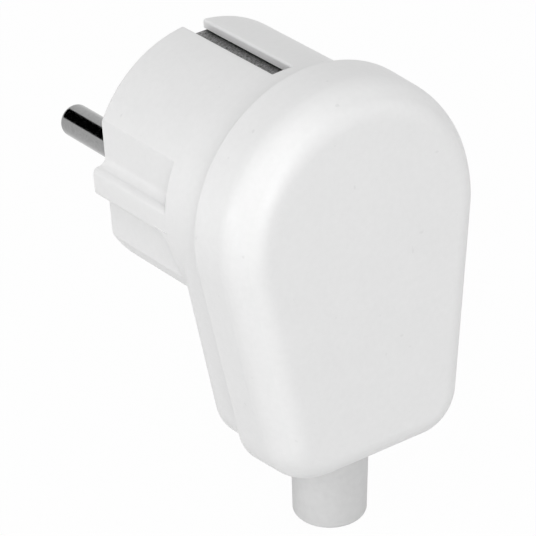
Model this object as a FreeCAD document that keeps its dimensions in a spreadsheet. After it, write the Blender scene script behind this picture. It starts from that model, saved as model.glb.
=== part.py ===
import FreeCAD, Part
import math
import os
import Sketcher

# An angled, rewirable, earthed plug of the round 16 A kind: two bare round pins, earth strips at the
# top and bottom of the nose, a socket for an earth pin, and a cord outlet at the lower end.
# Millimetres. The origin is the centre of the engagement face, +Y points out along the pins,
# +Z is up and the cord leaves along -Z. A depth is a distance behind the engagement face.

os.makedirs("parts", exist_ok=True)
doc = FreeCAD.newDocument("plug")

SIZES = [
    # nose
    ("collar_room", 0.7, "gap between a pin's collar and the side wall of the terminal chamber"),
    ("nose_depth", 17.8, "engagement face to the front of the flange"),
    ("nose_edge_radius", 0.4, "rounding of the front edge"),
    ("front_wall", 4.0, "thickness of the front wall that carries the pins"),
    ("flat_inset", 2.3, "how far each side flat lies inside the nose radius"),
    ("rib_height", 4.2, "height of the guide rib on each side flat"),
    ("rib_inset", 0.1, "outer face of a guide rib under the nose surface"),
    ("rib_edge_radius", 0.8, "rounding of the outer edges of a guide rib"),
    ("rib_root_radius", 1.2, "hollow rounding between a guide rib and the flat above it"),
    ("recess_corner_radius", 3.0, "rounding between a guide rib and the flange below it"),
    ("slot_width", 3.2, "opening over an earth strip, between its two lips"),
    ("slot_lip", 1.4, "height of the lips over the groove that the strip lies in"),
    ("slot_edge_radius", 0.35, "rounding of the upper edges of the lips"),
    ("groove_width", 5.0, "undercut groove that an earth strip lies in"),
    ("slot_run", 3.5, "how far a slot runs on past the front of the flange"),
    ("slot_floor_wall", 1.5, "wall under the floor of a slot"),
    # flange and shell
    ("wall", 2.0, "wall of the front half"),
    ("corner_spacing", 15.9, "distance between the centres of the two lower corners"),
    ("neck_length", 9.8, "nose surface down to the centres of the lower corners"),
    ("flange_corner_radius", 6.5, "lower corners of the front half"),
    ("flange_edge_radius", 3.2, "rounding of the front edge of the flange"),
    ("flange_depth", 9.5, "front of the flange to the rim of the cover"),
    ("overlap", 3.5, "how far the front half reaches into the cover"),
    # cover
    ("cover_wall", 1.8, "wall of the cover round the front half"),
    ("cover_arc_rise", 0.6, "centre of the upper arc above the nose axis"),
    ("cover_corner_wall", 1.4, "wall of the cover at its lower corners"),
    ("cover_height", 11.5, "rim of the cover to its back"),
    ("cover_slope_width", 2.5, "slope between the cover's side and back, across the back"),
    ("cover_slope_depth", 4.0, "slope between the cover's side and back, along the side"),
    ("cover_back_radius", 3.2, "rounding between that slope and the back"),
    ("cover_side_radius", 6.5, "rounding between that slope and the side"),
    ("cover_inner_radius", 2.8, "rounding of the back edge inside the cover"),
    ("cover_rim_radius", 0.4, "small rounding of the rim"),
    ("cover_draft", 2.0, "draft of the cover's side walls, degrees"),
    ("cover_back_wall", 2.4, "thickness of the back wall"),
    ("cover_clearance", 0.15, "gap between the cover and the front half inside it"),
    ("seat_step", 1.0, "ledge in the cover that the front half seats on"),
    # contact pins
    ("pin_radius", 2.4, "contact pin"),
    ("pin_spacing", 19.0, "distance between the pins"),
    ("pin_length", 19.0, "pin in front of the engagement face"),
    ("pin_tip_radius", 1.0, "rounding of the pin's tip"),
    ("pin_shank_radius", 2.7, "thicker shank of a pin in the front wall"),
    ("pin_clearance", 0.1, "radial gap round a pin in the front wall"),
    ("collar_radius", 4.0, "collar that seats in the front wall"),
    ("collar_thickness", 1.6, "collar along the pin"),
    ("collar_seat", 1.0, "depth of the collar's seat"),
    ("head_radius", 3.5, "terminal head of a pin"),
    ("head_length", 10.4, "terminal head behind the collar"),
    ("head_gap", 0.5, "gap between a terminal head and the divider beside it"),
    ("wire_hole_radius", 1.7, "cross hole for the wire"),
    ("wire_hole_offset", 6.4, "cross hole behind the collar"),
    # screws
    ("thread_gap", 0.05, "radial gap between a thread and its hole"),
    ("screw_chamfer", 0.35, "edges of the screws' heads and points"),
    ("tip_room", 0.5, "depth of a blind hole past the point of its screw"),
    ("terminal_thread_radius", 1.5, "terminal screws in the pins"),
    ("terminal_head_radius", 2.6, "head of a terminal screw"),
    ("terminal_head_height", 1.9, "head of a terminal screw"),
    ("terminal_head_gap", 0.3, "room left under a terminal screw's head"),
    ("drive_slot_width", 0.9, "screwdriver slot"),
    ("drive_slot_depth", 1.0, "screwdriver slot"),
    ("guard_width", 2.4, "leaf that guards the wire"),
    ("guard_thickness", 0.3, "leaf that guards the wire"),
    ("guard_tab", 3.4, "bent tab of the leaf outside the head"),
    # retainer over the pin collars
    ("retainer_thickness", 2.4, "plate over the collars"),
    ("retainer_clearance", 0.3, "gap round the plate and round what passes through it"),
    ("retainer_margin", 3.2, "upper and lower edge of the plate inside the roof and floor of the chamber"),
    ("retainer_corner_radius", 4.5, "corners of the plate"),
    ("divider_thickness", 1.2, "walls between the terminals"),
    ("divider_length", 7.0, "walls behind the plate"),
    ("retainer_screw_inset", 1.0, "retainer screws nearer the middle than the pins"),
    ("retainer_screw_edge", 3.0, "retainer screws from the plate's upper and lower edge"),
    ("retainer_thread_radius", 1.25, "retainer screws"),
    ("retainer_head_radius", 2.2, "head of a retainer screw"),
    ("retainer_head_height", 1.5, "head of a retainer screw"),
    ("retainer_bite", 3.0, "thread of a retainer screw in the front half"),
    # earth contacts
    ("strip_top_gap", 0.2, "gap between an earth strip and the lips over it"),
    ("strip_setback", 0.3, "front end of an earth strip behind the engagement face"),
    ("strip_thickness", 0.8, "sheet of the earth bracket"),
    ("strip_side_gap", 0.2, "gap on each side of a strip in its groove"),
    ("strip_floor_gap", 0.3, "gap under a strip in its groove"),
    ("strip_bend_radius", 0.8, "inner bend of the bracket"),
    ("strip_end_radius", 0.4, "rounded edge at the front end of a strip"),
    ("strip_corner_radius", 0.9, "round corners at the front end of a strip"),
    ("bracket_setback", 3.2, "cross bar behind the inside of the flange's wall"),
    ("cross_bar_width", 8.0, "cross bar between the strips"),
    ("shoulder_margin", 3.2, "wide part of the cross bar past its earth terminal"),
    ("socket_room", 1.1, "gap between the earth socket and the roof of the chamber"),
    ("earth_bore_radius", 2.45, "bore for the earth pin of the wall socket"),
    ("earth_bore_length", 16.0, "depth of that bore behind its mouth"),
    ("earth_entry_radius", 2.8, "hole for the earth pin in the engagement face"),
    ("earth_tube_wall", 0.75, "wall of the earth socket"),
    ("earth_tube_setback", 2.2, "mouth of the earth socket behind the engagement face"),
    ("earth_slit_width", 0.8, "slit that makes the earth socket springy"),
    ("earth_slit_length", 11.0, "slit from the mouth of the earth socket"),
    ("rivet_radius", 1.6, "rivet end of the earth socket through the cross bar"),
    ("rivet_head_radius", 2.5, "closed head of the rivet"),
    ("rivet_head_height", 0.7, "closed head of the rivet"),
    ("washer_gap", 0.5, "gap between the clamping washer and the nut's boss"),
    ("earth_thread_radius", 1.75, "earth terminal screw"),
    ("earth_screw_length", 5.5, "earth terminal screw under its head"),
    ("earth_head_radius", 3.0, "head of the earth terminal screw"),
    ("earth_head_height", 2.0, "head of the earth terminal screw"),
    ("washer_side", 7.4, "clamping washer along the cross bar"),
    ("washer_thickness", 0.9, "clamping washer"),
    ("washer_lip_thickness", 0.8, "turned down edge of the washer"),
    ("washer_lip", 0.8, "turned down edge that keeps the wire in"),
    # housing screw
    ("centre_thread_radius", 1.75, "housing screw"),
    ("centre_hole_gap", 0.2, "radial gap round the housing screw"),
    ("centre_head_radius", 3.2, "head of the housing screw"),
    ("centre_head_height", 2.4, "head of the housing screw"),
    ("centre_head_sink", 3.2, "seat of the head behind the engagement face"),
    ("nut_flats", 6.0, "hexagon nut across its flats"),
    ("nut_thickness", 2.8, "hexagon nut"),
    ("nut_clearance", 0.15, "gap round the nut in its pocket"),
    ("nut_seat", 4.2, "boss in the cover between the cross bar and the nut"),
    ("thread_past_nut", 0.7, "housing screw past its nut"),
    ("nut_boss_wall", 1.8, "wall of that boss past the nut's corners"),
    # cord grip
    ("clamp_rise", 3.7, "cord clamp above the centres of the lower corners"),
    ("clamp_boss_height", 7.2, "bosses that carry the cord clamp"),
    ("clamp_end_gap", 0.9, "gap between the cord clamp's ends and the shell"),
    ("clamp_width", 7.0, "cord clamp along the cord"),
    ("clamp_thickness", 3.2, "cord clamp"),
    ("clamp_arch", 1.4, "hollow in the clamp for the cord"),
    ("clamp_arch_width", 8.4, "hollow in the clamp for the cord"),
    ("clamp_screw_inset", 3.2, "clamp screws from the ends of the clamp"),
    ("clamp_thread_radius", 1.5, "clamp screws"),
    ("clamp_head_radius", 2.7, "head of a clamp screw"),
    ("clamp_head_height", 1.9, "head of a clamp screw"),
    ("clamp_boss_radius", 2.8, "bosses for the clamp screws"),
    ("clamp_bite", 5.5, "thread of a clamp screw in its boss"),
    ("saddle_height", 1.6, "ribs that the cord is pressed on"),
    ("saddle_rib", 1.0, "thickness of those ribs"),
    # bend sleeve
    ("outlet_gap", 0.2, "gap between the sleeve's flange and the inside of the flange's wall"),
    ("sleeve_wall", 1.4, "wall of the sleeve where it leaves the housing"),
    ("sleeve_end_wall", 1.15, "wall of the sleeve at its free end"),
    ("sleeve_bore_radius", 4.1, "hole for the cord"),
    ("sleeve_edge_radius", 0.5, "rounding of the free end"),
    ("sleeve_length", 13.5, "sleeve outside the housing, from its bend to its free end"),
    ("sleeve_lean", 6.2, "lean of the sleeve outside the housing towards the front, degrees"),
    ("sleeve_bend_radius", 9.0, "bend that starts the lean, at the middle of the sleeve"),
    ("sleeve_bend_rise", 0.4, "start of the bend above the lower end of the housing"),
    ("sleeve_flange_rim", 0.9, "flange inside the housing, past the sleeve"),
    ("sleeve_flange_thickness", 1.6, "flange inside the housing"),
    ("sleeve_clearance", 0.1, "gap round the sleeve and its flange"),
    ("fence_thickness", 1.4, "wall that keeps the flange down"),
    ("cord_gap", 0.6, "notch in that wall past the sleeve's hole"),
    # inside of the cover
    ("cover_rib_thickness", 1.2, "stiffening ribs on the back wall"),
    ("cover_rib_height", 3.0, "stiffening ribs on the back wall"),
    ("cover_rib_spacing", 17.0, "distance between the stiffening ribs"),
    ("cover_rib_length", 24.0, "length of a stiffening rib"),
    ("cover_rib_top", 8.0, "upper end of a stiffening rib above the middle"),
]

sheet = doc.addObject("Spreadsheet::Sheet", "Sizes")
for row, (alias, value, meaning) in enumerate(SIZES, start=1):
    sheet.set("A%d" % row, meaning)
    sheet.set("B%d" % row, str(value))
    sheet.setAlias("B%d" % row, alias)
doc.recompute()


class Size:
    """A number together with the sheet expression that gives it."""

    def __init__(self, value, text):
        self.value = float(value)
        self.text = text

    def combined(self, other, sign, turned=False):
        other = other if isinstance(other, Size) else Size(other, repr(float(other)))
        left, right = (other, self) if turned else (self, other)
        results = {
            "+": left.value + right.value,
            "-": left.value - right.value,
            "*": left.value * right.value,
        }
        return Size(results[sign], "(%s %s %s)" % (left.text, sign, right.text))

    def __add__(self, other):
        return self.combined(other, "+")

    def __radd__(self, other):
        return self.combined(other, "+", turned=True)

    def __sub__(self, other):
        return self.combined(other, "-")

    def __rsub__(self, other):
        return self.combined(other, "-", turned=True)

    def __mul__(self, other):
        return self.combined(other, "*")

    def __rmul__(self, other):
        return self.combined(other, "*", turned=True)

    def __neg__(self):
        return self.combined(-1.0, "*")

    def half(self):
        return self.combined(0.5, "*")


class Sheet:
    """Gives each cell of the sheet as a Size, by its alias."""

    def __getattr__(self, alias):
        return Size(sheet.get(alias), "Sizes." + alias)


s = Sheet()
ZERO = Size(0, "0")
# An open cut reaches this far past the surface that it opens.
PAST = Size(1, "1")

# Places that several pieces share, across the plug.
pin_half = s.pin_spacing.half()
column_radius = pin_half - s.head_radius - s.head_gap - s.divider_thickness - s.retainer_clearance
chamber_half_width = pin_half + s.collar_radius + s.collar_room
flat_distance = chamber_half_width + s.wall
nose_radius = flat_distance + s.flat_inset
chamber_radius = nose_radius - s.wall
lip_under = nose_radius - s.slot_lip
strip_face = lip_under - s.strip_top_gap
strip_under = strip_face - s.strip_thickness
slot_floor = strip_under - s.strip_floor_gap
chamber_half_height = slot_floor - s.slot_floor_wall
strip_half_width = s.groove_width.half() - s.strip_side_gap
tube_radius = s.earth_bore_radius + s.earth_tube_wall
earth_socket_rise = chamber_half_height - s.socket_room - tube_radius
retainer_half_height = chamber_half_height - s.retainer_margin
retainer_screw_across = pin_half - s.retainer_screw_inset
retainer_screw_up = retainer_half_height - s.retainer_screw_edge
cover_radius = nose_radius + s.cover_clearance + s.cover_wall
cover_corner_radius = s.flange_corner_radius + s.cover_clearance + s.cover_corner_wall
corner_half = s.corner_spacing.half()
corner_drop = nose_radius + s.neck_length
shell_bottom = corner_drop + s.flange_corner_radius
nut_corner = s.nut_flats * (1 / math.sqrt(3))
nut_boss_radius = nut_corner + s.nut_clearance + s.nut_boss_wall
earth_screw_drop = nut_boss_radius + s.washer_gap + s.washer_side.half()
clamp_drop = corner_drop - s.clamp_rise
clamp_half_length = corner_half + s.flange_corner_radius - s.wall - s.clamp_end_gap
clamp_half = clamp_half_length - s.clamp_screw_inset
sleeve_radius = s.sleeve_bore_radius + s.sleeve_wall
sleeve_end_radius = s.sleeve_bore_radius + s.sleeve_end_wall
sleeve_flange_radius = sleeve_radius + s.sleeve_flange_rim
sleeve_bend_drop = shell_bottom - s.sleeve_bend_rise
half_lean = math.radians(s.sleeve_lean.value) / 2
sleeve_bend_reach = s.sleeve_bend_radius * Size(math.tan(half_lean), "tan(Sizes.sleeve_lean / 2)")
sleeve_turn_drop = sleeve_bend_drop + sleeve_bend_reach
flange_top_drop = shell_bottom - s.wall - s.sleeve_clearance - s.sleeve_flange_thickness
fence_bottom_drop = flange_top_drop - s.sleeve_clearance
outlet_hole_radius = sleeve_radius + s.sleeve_clearance

# Depths that several pieces share.
seat_depth = s.front_wall - s.collar_seat
collar_back = seat_depth + s.collar_thickness
head_back = collar_back + s.head_length
wire_hole_depth = collar_back + s.wire_hole_offset
retainer_back = collar_back + s.retainer_thickness
slot_length = s.nose_depth + s.slot_run
shell_floor = s.nose_depth + s.wall
parting_depth = s.nose_depth + s.flange_depth
shell_back = parting_depth + s.overlap
cover_depth = parting_depth + s.cover_height
cover_inside_back = cover_depth - s.cover_back_wall
bracket_depth = shell_floor + s.bracket_setback
bracket_back = bracket_depth + s.strip_thickness
washer_back = bracket_back + s.washer_thickness
nut_depth = bracket_back + s.nut_seat
centre_screw_tip = nut_depth + s.nut_thickness + s.thread_past_nut
clamp_depth = shell_floor + s.clamp_boss_height
outlet_depth = shell_floor + s.outlet_gap + sleeve_flange_radius


def new_body(name):
    body = doc.addObject("PartDesign::Body", name)
    body.Label = name
    return body


def place(body, x=ZERO, depth=ZERO, height=ZERO, half_turn=False):
    """Sets a body down at x, depth and height, turned to face the other way where asked."""
    turn = FreeCAD.Rotation(FreeCAD.Vector(0, 0, 1), 180 if half_turn else 0)
    body.Placement = FreeCAD.Placement(FreeCAD.Vector(x.value, -depth.value, height.value), turn)
    body.setExpression("Placement.Base.x", x.text)
    body.setExpression("Placement.Base.y", (-depth).text)
    body.setExpression("Placement.Base.z", height.text)


class Drawing:
    """A sketch on one of its body's origin planes.

    On XZ_Plane the sketch's axes are X and Z and it looks towards the back, so its offset is a depth.
    """

    def __init__(self, body, plane, name, offset=ZERO):
        self.body = body
        self.sketch = body.newObject("Sketcher::SketchObject", name)
        support = next(f for f in body.Origin.OriginFeatures if f.Role == plane)
        self.sketch.AttachmentSupport = [(support, "")]
        self.sketch.MapMode = "FlatFace"
        self.sketch.AttachmentOffset = FreeCAD.Placement(
            FreeCAD.Vector(0, 0, offset.value), FreeCAD.Rotation()
        )
        self.sketch.setExpression("AttachmentOffset.Base.z", offset.text)

    def lean(self, height, angle):
        """Moves the sketch to a height and tips its upper end to the back, by an angle in degrees."""
        turn = FreeCAD.Rotation(FreeCAD.Vector(1, 0, 0), angle.value)
        self.sketch.AttachmentOffset = FreeCAD.Placement(FreeCAD.Vector(0, height.value, 0), turn)
        self.sketch.setExpression("AttachmentOffset.Base.y", height.text)
        self.sketch.setExpression("AttachmentOffset.Rotation.Angle", angle.text)
        return self

    def rule(self, kind, *items, size=None):
        """Adds one constraint, driven by the sheet where it has a size."""
        if size is None:
            self.sketch.addConstraint(Sketcher.Constraint(kind, *items))
            return
        index = self.sketch.addConstraint(Sketcher.Constraint(kind, *items, size.value))
        self.sketch.setExpression("Constraints[%d]" % index, size.text)

    def fix(self, geometry, point, x, y):
        """Fixes a point of the geometry at x, y. A plain 0 puts it on the axis."""
        if x is ZERO and y is ZERO:
            self.rule("Coincident", geometry, point, -1, 1)
            return
        if x is ZERO:
            self.rule("PointOnObject", geometry, point, -2)
        else:
            self.rule("DistanceX", -1, 1, geometry, point, size=x)
        if y is ZERO:
            self.rule("PointOnObject", geometry, point, -1)
        else:
            self.rule("DistanceY", -1, 1, geometry, point, size=y)

    def line(self, x0, y0, x1, y1):
        start = FreeCAD.Vector(x0.value, y0.value, 0)
        end = FreeCAD.Vector(x1.value, y1.value, 0)
        return self.sketch.addGeometry(Part.LineSegment(start, end))

    def arc(self, x, y, radius, start, end):
        circle = Part.Circle(FreeCAD.Vector(x.value, y.value, 0), FreeCAD.Vector(0, 0, 1), radius.value)
        return self.sketch.addGeometry(Part.ArcOfCircle(circle, start, end))

    def circle(self, x, y, radius):
        circle = Part.Circle(FreeCAD.Vector(x.value, y.value, 0), FreeCAD.Vector(0, 0, 1), radius.value)
        index = self.sketch.addGeometry(circle)
        self.fix(index, 3, x, y)
        self.rule("Radius", index, size=radius)
        return self

    def polygon(self, *corners):
        """Closed outline of straight lines through corners given as (x, y)."""
        count = len(corners)
        lines = [self.line(*corners[i], *corners[(i + 1) % count]) for i in range(count)]
        for i in range(count):
            self.rule("Coincident", lines[i], 2, lines[(i + 1) % count], 1)
            self.fix(lines[i], 1, *corners[i])
        return self

    def rectangle(self, left, right, low, high):
        return self.polygon((left, low), (right, low), (right, high), (left, high))

    def teardrop(self, rise, radius, across, drop, corner):
        """Upper arc, two tangent sides, and two lower corners joined by a straight bottom."""
        offset_x = across.value
        offset_y = -drop.value - rise.value
        reach = math.hypot(offset_x, offset_y)
        tilt = math.atan2(offset_y, offset_x) + math.acos((radius.value - corner.value) / reach)
        low = -drop
        bottom = low - corner
        top_arc = self.arc(ZERO, rise, radius, tilt, math.pi - tilt)
        right = self.arc(across, low, corner, -math.pi / 2, tilt)
        left = self.arc(-across, low, corner, math.pi - tilt, 1.5 * math.pi)

        def on(centre_x, centre_y, size, angle):
            x = centre_x.value + size.value * math.cos(angle)
            y = centre_y.value + size.value * math.sin(angle)
            return FreeCAD.Vector(x, y, 0)

        right_side = self.sketch.addGeometry(
            Part.LineSegment(on(across, low, corner, tilt), on(ZERO, rise, radius, tilt))
        )
        other = math.pi - tilt
        left_side = self.sketch.addGeometry(
            Part.LineSegment(on(ZERO, rise, radius, other), on(-across, low, corner, other))
        )
        base = self.line(-across, bottom, across, bottom)
        self.rule("Tangent", right_side, 2, top_arc, 1)
        self.rule("Tangent", left_side, 1, top_arc, 2)
        self.rule("Tangent", right_side, 1, right, 2)
        self.rule("Tangent", left_side, 2, left, 1)
        self.rule("Tangent", base, 2, right, 1)
        self.rule("Tangent", base, 1, left, 2)
        self.fix(top_arc, 3, ZERO, rise)
        self.rule("Radius", top_arc, size=radius)
        for corner_arc, x in ((right, across), (left, -across)):
            self.fix(corner_arc, 3, x, low)
            self.rule("Radius", corner_arc, size=corner)
        return self

    def round_with_flats(self, radius, half_width, half_height):
        """Circle about the middle, cut off flat on all four sides."""
        side = math.acos(half_width.value / radius.value)
        top = math.asin(half_height.value / radius.value)
        spans = [(side, top), (math.pi - top, math.pi - side)]
        spans += [(math.pi + side, math.pi + top), (2 * math.pi - top, 2 * math.pi - side)]
        arcs = [self.arc(ZERO, ZERO, radius, a, b) for a, b in spans]
        for arc in arcs:
            self.fix(arc, 3, ZERO, ZERO)
            self.rule("Radius", arc, size=radius)
        ends = [(half_height, "Y", 1), (half_width, "X", -1), (half_height, "Y", -1), (half_width, "X", 1)]
        for i, (distance, axis, sign) in enumerate(ends):
            first, second = arcs[i], arcs[(i + 1) % 4]
            start = self.sketch.getPoint(first, 2)
            end = self.sketch.getPoint(second, 1)
            flat = self.sketch.addGeometry(Part.LineSegment(start, end))
            self.rule("Coincident", flat, 1, first, 2)
            self.rule("Coincident", flat, 2, second, 1)
            self.rule("Horizontal" if axis == "Y" else "Vertical", flat)
            self.rule("Distance" + axis, -1, 1, flat, 1, size=distance if sign > 0 else -distance)
        return self

    def rounded_rectangle(self, half_width, half_height, radius):
        """Rectangle about the middle with four round corners."""
        inner_x = half_width - radius
        inner_y = half_height - radius
        upper = [(inner_x, inner_y, 0), (-inner_x, inner_y, 1)]
        turns = upper + [(-inner_x, -inner_y, 2), (inner_x, -inner_y, 3)]
        quarter = math.pi / 2
        arcs = [self.arc(x, y, radius, turn * quarter, (turn + 1) * quarter) for x, y, turn in turns]
        for arc, (x, y, turn) in zip(arcs, turns):
            self.fix(arc, 3, x, y)
            self.rule("Radius", arc, size=radius)
        for i in range(4):
            first, second = arcs[i], arcs[(i + 1) % 4]
            start = self.sketch.getPoint(first, 2)
            end = self.sketch.getPoint(second, 1)
            side = self.sketch.addGeometry(Part.LineSegment(start, end))
            self.rule("Tangent", side, 1, first, 2)
            self.rule("Tangent", side, 2, second, 1)
        return self

    def rectangle_with_round_corner(self, left, right, low, high, radius):
        """Rectangle whose upper left corner is round."""
        lines = [
            self.line(left, low, right, low),
            self.line(right, low, right, high),
            self.line(right, high, left + radius, high),
            self.line(left, high - radius, left, low),
        ]
        corner = self.arc(left + radius, high - radius, radius, math.pi / 2, math.pi)
        for i, (x, y) in enumerate(((left, low), (right, low), (right, high))):
            self.fix(lines[i], 1, x, y)
        for first, second in ((0, 1), (1, 2), (3, 0)):
            self.rule("Coincident", lines[first], 2, lines[second], 1)
        self.rule("Tangent", lines[2], 2, corner, 1)
        self.rule("Tangent", lines[3], 1, corner, 2)
        self.fix(corner, 3, left + radius, high - radius)
        self.rule("Radius", corner, size=radius)
        return self

    def guide_rib(self, root, flat, radius, half_height, edge, hollow_radius):
        """Section of a rib: its outer face follows the nose, and it rises hollow from the flat above it."""
        middle_y = half_height.value - edge.value
        middle_x = math.sqrt((radius.value - edge.value) ** 2 - middle_y ** 2)
        tilt = math.atan2(middle_y, middle_x)
        outer = self.arc(ZERO, ZERO, radius, -tilt, tilt)
        self.fix(outer, 3, ZERO, ZERO)
        self.rule("Radius", outer, size=radius)
        hollow_x = flat + hollow_radius
        top = half_height + hollow_radius
        hollow = self.arc(hollow_x, top, hollow_radius, math.pi, 1.5 * math.pi)
        self.fix(hollow, 3, hollow_x, top)
        self.rule("Radius", hollow, size=hollow_radius)
        inside = self.line(root, top, flat, top)
        self.rule("Coincident", inside, 2, hollow, 1)
        self.rule("Horizontal", inside)
        self.fix(inside, 1, root, top)
        back = self.line(root, top, root, -half_height)
        self.rule("Coincident", inside, 1, back, 1)
        ends = []
        for sign, start_x in ((1, hollow_x), (-1, root)):
            centre = FreeCAD.Vector(middle_x, sign * middle_y, 0)
            circle = Part.Circle(centre, FreeCAD.Vector(0, 0, 1), edge.value)
            span = (tilt, math.pi / 2) if sign > 0 else (-math.pi / 2, -tilt)
            corner = self.sketch.addGeometry(Part.ArcOfCircle(circle, *span))
            level = sign * half_height.value
            side_start = FreeCAD.Vector(start_x.value, level, 0)
            side = self.sketch.addGeometry(Part.LineSegment(side_start, FreeCAD.Vector(middle_x, level, 0)))
            near_outer, near_side = (1, 2) if sign > 0 else (2, 1)
            self.rule("Radius", corner, size=edge)
            self.rule("Tangent", outer, near_side, corner, near_outer)
            self.rule("Tangent", side, 2, corner, near_side)
            self.rule("Horizontal", side)
            ends.append(side)
        self.rule("Tangent", ends[0], 1, hollow, 2)
        self.rule("Coincident", back, 2, ends[1], 1)
        self.fix(ends[1], 1, root, -half_height)
        return self

    def round_corners(self, half_width, far, radius):
        """What is cut off the two corners at y = far to make them round."""
        near_y = far - radius
        for sign in (1.0, -1.0):
            edge_x = half_width * sign
            centre_x = (half_width - radius) * sign
            span = (0, math.pi / 2) if sign > 0 else (math.pi / 2, math.pi)
            arc = self.arc(centre_x, near_y, radius, *span)
            at_side, at_end = (1, 2) if sign > 0 else (2, 1)
            past_x = edge_x + PAST * sign
            past_y = far + PAST
            points = [(edge_x, near_y), (past_x, near_y), (past_x, past_y), (centre_x, past_y)]
            points.append((centre_x, far))
            lines = [self.line(*start, *end) for start, end in zip(points, points[1:])]
            for line, point in zip(lines, points):
                self.fix(line, 1, *point)
            for line, following in zip(lines, lines[1:]):
                self.rule("Coincident", line, 2, following, 1)
            self.rule("Coincident", lines[0], 1, arc, at_side)
            self.rule("Coincident", lines[-1], 2, arc, at_end)
            self.rule("Vertical", lines[-1])
            self.fix(arc, 3, centre_x, near_y)
        return self

    def feature(self, kind, name, length, back, symmetric):
        made = self.body.newObject("PartDesign::" + kind, name)
        made.Profile = self.sketch
        made.Length = length.value
        made.setExpression("Length", length.text)
        made.Reversed = back
        if symmetric:
            made.Midplane = True
        self.sketch.Visibility = False
        return made

    def pad(self, name, length, reverse=False, symmetric=False):
        return self.feature("Pad", name, length, reverse, symmetric)

    def pocket(self, name, length, reverse=True, symmetric=False):
        """Cuts along the sketch's own direction, and proves that it cut something."""
        doc.recompute()
        before = self.body.Shape.Volume
        made = self.feature("Pocket", name, length, reverse, symmetric)
        doc.recompute()
        if self.body.Shape.Volume >= before:
            raise RuntimeError("%s cuts nothing" % name)
        return made

    def revolve(self, name):
        made = self.body.newObject("PartDesign::Revolution", name)
        made.Profile = self.sketch
        made.ReferenceAxis = (self.sketch, ["V_Axis"])
        made.Angle = 360.0
        return made

    def bend(self, name, distance, angle):
        """Bends the outline forward about a line across it, which lies at that distance to its front."""
        line = self.line(ZERO, distance, PAST, distance)
        self.sketch.toggleConstruction(line)
        self.rule("Horizontal", line)
        self.fix(line, 1, ZERO, distance)
        self.rule("DistanceX", -1, 1, line, 2, size=PAST)
        made = self.body.newObject("PartDesign::Revolution", name)
        made.Profile = self.sketch
        made.ReferenceAxis = (self.sketch, ["Axis0"])
        made.Angle = angle.value
        made.setExpression("Angle", angle.text)
        return made


def mirrored(body, name, originals, plane):
    """Repeats features on the other side of one of the body's origin planes."""
    made = body.newObject("PartDesign::Mirrored", name)
    made.Originals = originals
    made.MirrorPlane = (next(f for f in body.Origin.OriginFeatures if f.Role == plane), [""])
    body.Tip = made
    doc.recompute()
    return made


def rounded(body, name, radius, chosen, kind="Fillet"):
    """Rounds the edges of the body's last feature for which chosen(edge) is true."""
    doc.recompute()
    base = body.Tip
    names = ["Edge%d" % (i + 1) for i, edge in enumerate(base.Shape.Edges) if chosen(edge)]
    made = body.newObject("PartDesign::" + kind, name)
    made.Base = (base, names)
    sized = "Radius" if kind == "Fillet" else "Size"
    setattr(made, sized, radius.value)
    made.setExpression(sized, radius.text)
    doc.recompute()
    if not names or "Invalid" in made.State:
        raise RuntimeError("%s could not be made on %d edges" % (name, len(names)))
    return made


def near(a, b):
    return abs(a - b) < 1e-4


def at_depth(depth):
    """True for edges that lie wholly at one depth."""
    return lambda edge: all(near(-v.Y, depth.value) for v in edge.Vertexes) and near(
        -edge.BoundBox.YMin, depth.value
    )


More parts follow.
